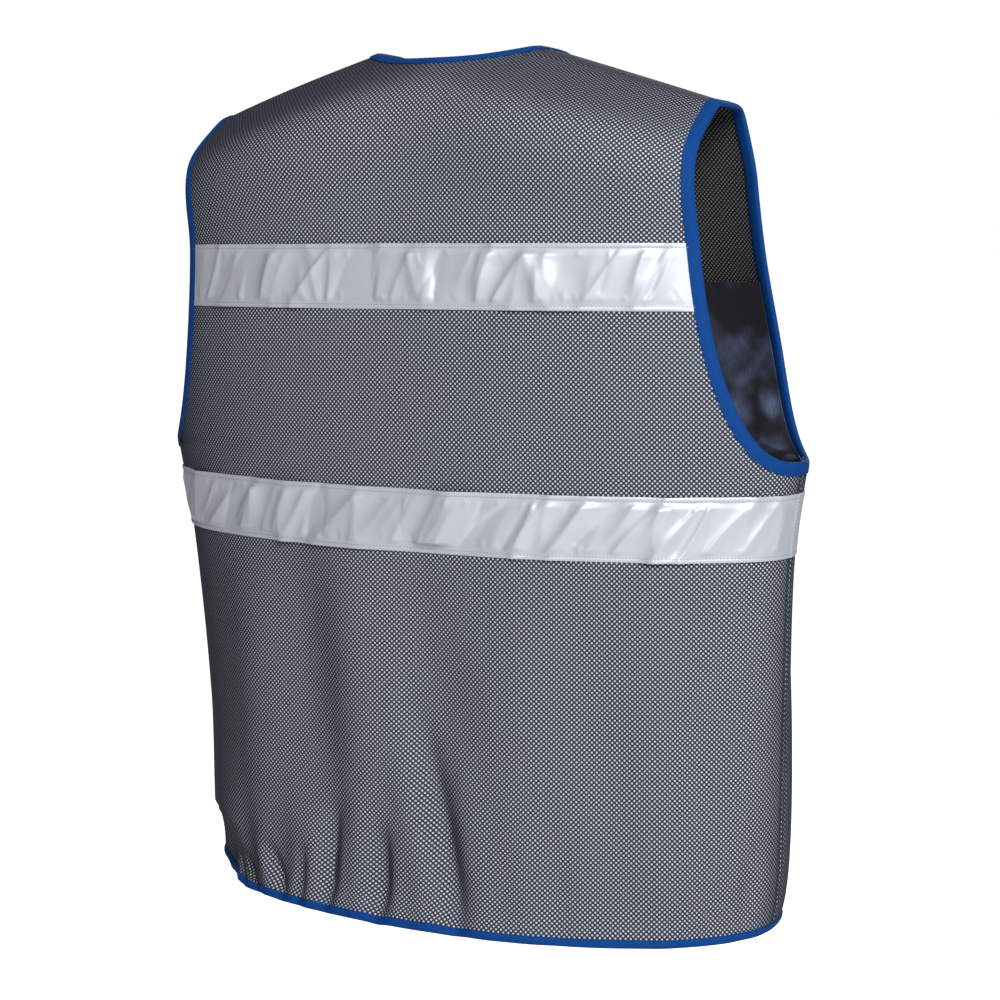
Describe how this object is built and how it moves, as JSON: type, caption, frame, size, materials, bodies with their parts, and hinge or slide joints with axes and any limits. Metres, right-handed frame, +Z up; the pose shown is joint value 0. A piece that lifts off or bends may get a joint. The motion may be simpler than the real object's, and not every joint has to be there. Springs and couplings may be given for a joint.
{
  "type": "cooling vest",
  "caption": "Sleeveless zip-front cooling vest of dark spacer mesh with blue edge binding and reflective bands round chest and waist.",
  "frame": {"origin": "midway between the neck ends of the two shoulder seams", "axes": "+Z up; -Y towards the front, where the zip is; +X towards the wearer's left"},
  "size_m": [0.5677, 0.2811, 0.6918],
  "materials": {
    "spacer_mesh": "dark grey knitted spacer mesh with small pale dots",
    "edge_binding": "royal blue woven binding tape",
    "reflective_tape": "silver retroreflective fabric tape, lightly puckered",
    "lining_cloth": "blue-grey smooth lining cloth",
    "zip_tape": "black woven zip tape with moulded teeth"
  },
  "bodies": {
    "root": {"back_panel": "spacer_mesh", "front_panel_left": "spacer_mesh", "front_panel_right": "spacer_mesh", "neck_binding": "edge_binding", "hem_binding": "edge_binding", "armhole_binding_left": "edge_binding", "armhole_binding_right": "edge_binding", "chest_tape_back": "reflective_tape", "waist_tape_back": "reflective_tape", "chest_tape_front_left": "reflective_tape", "waist_tape_front_left": "reflective_tape", "chest_tape_front_right": "reflective_tape", "waist_tape_front_right": "reflective_tape", "front_lining_left": "lining_cloth", "front_lining_right": "lining_cloth", "front_zip": "zip_tape"}
  },
  "joints": []
}
